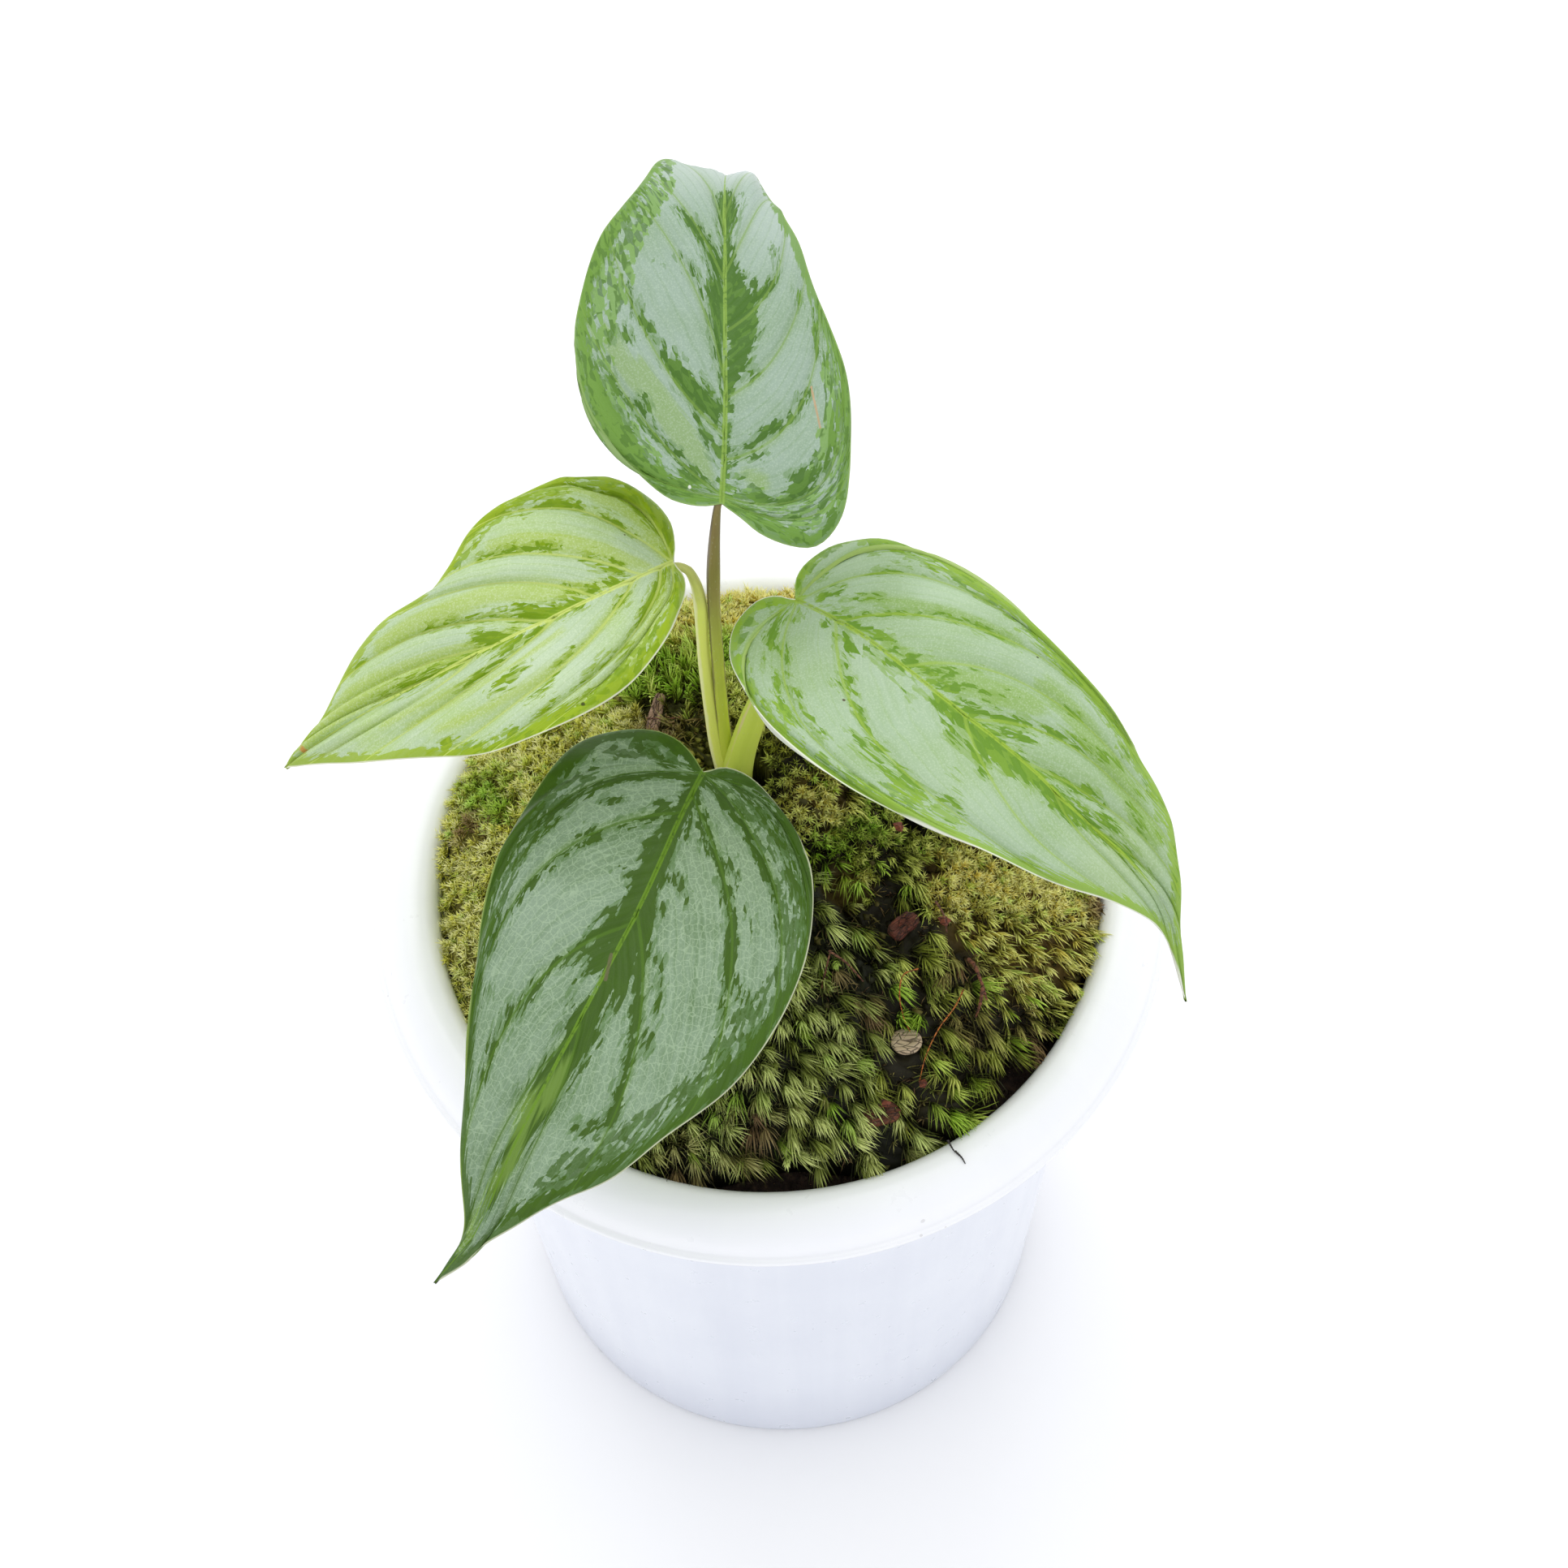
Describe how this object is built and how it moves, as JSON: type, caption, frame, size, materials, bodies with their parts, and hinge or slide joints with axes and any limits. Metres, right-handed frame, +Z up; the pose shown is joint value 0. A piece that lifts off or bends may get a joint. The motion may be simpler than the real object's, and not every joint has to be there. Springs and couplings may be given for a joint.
{
  "type": "potted philodendron",
  "caption": "Small philodendron with heart-shaped silvery green leaves on bent stalks, set in soil and moss in a slightly tapered white pot with a rolled rim.",
  "frame": {"origin": "middle of the pot's flat underside", "axes": "+Z up, +X to the right and +Y to the back as seen in the picture"},
  "size_m": [0.1338, 0.1575, 0.21],
  "materials": {
    "pot": "white satin plastic with a soft sheen",
    "soil": "dark crumbly potting soil",
    "moss_left": "short yellow-green moss",
    "moss_front": "grey-green moss in longer curved tufts",
    "moss_right": "golden-green moss",
    "moss_back": "dark olive moss",
    "stems": "smooth living stalk, yellow-green with a brown-purple flush",
    "leaf_back": "satin leaf, silver-green with dark green zones",
    "leaf_left": "satin young leaf, bright yellow-green with silver bands",
    "leaf_right": "satin leaf, light silver-green with green zones",
    "leaf_front": "satin leaf, blue-green with silver bands",
    "bark": "reddish brown bark, dry",
    "seed_disc": "pale tan, dry"
  },
  "bodies": {
    "root": {"pot": "pot", "soil": "soil", "moss_left": "moss_left", "moss_front": "moss_front", "moss_right": "moss_right", "moss_back": "moss_back", "stems": "stems", "leaf_back": "leaf_back", "leaf_left": "leaf_left", "leaf_right": "leaf_right", "leaf_front": "leaf_front", "bark_chip_back": "bark", "bark_chip_front": "bark", "bark_strip": "bark", "seed_disc": "seed_disc"}
  },
  "joints": []
}
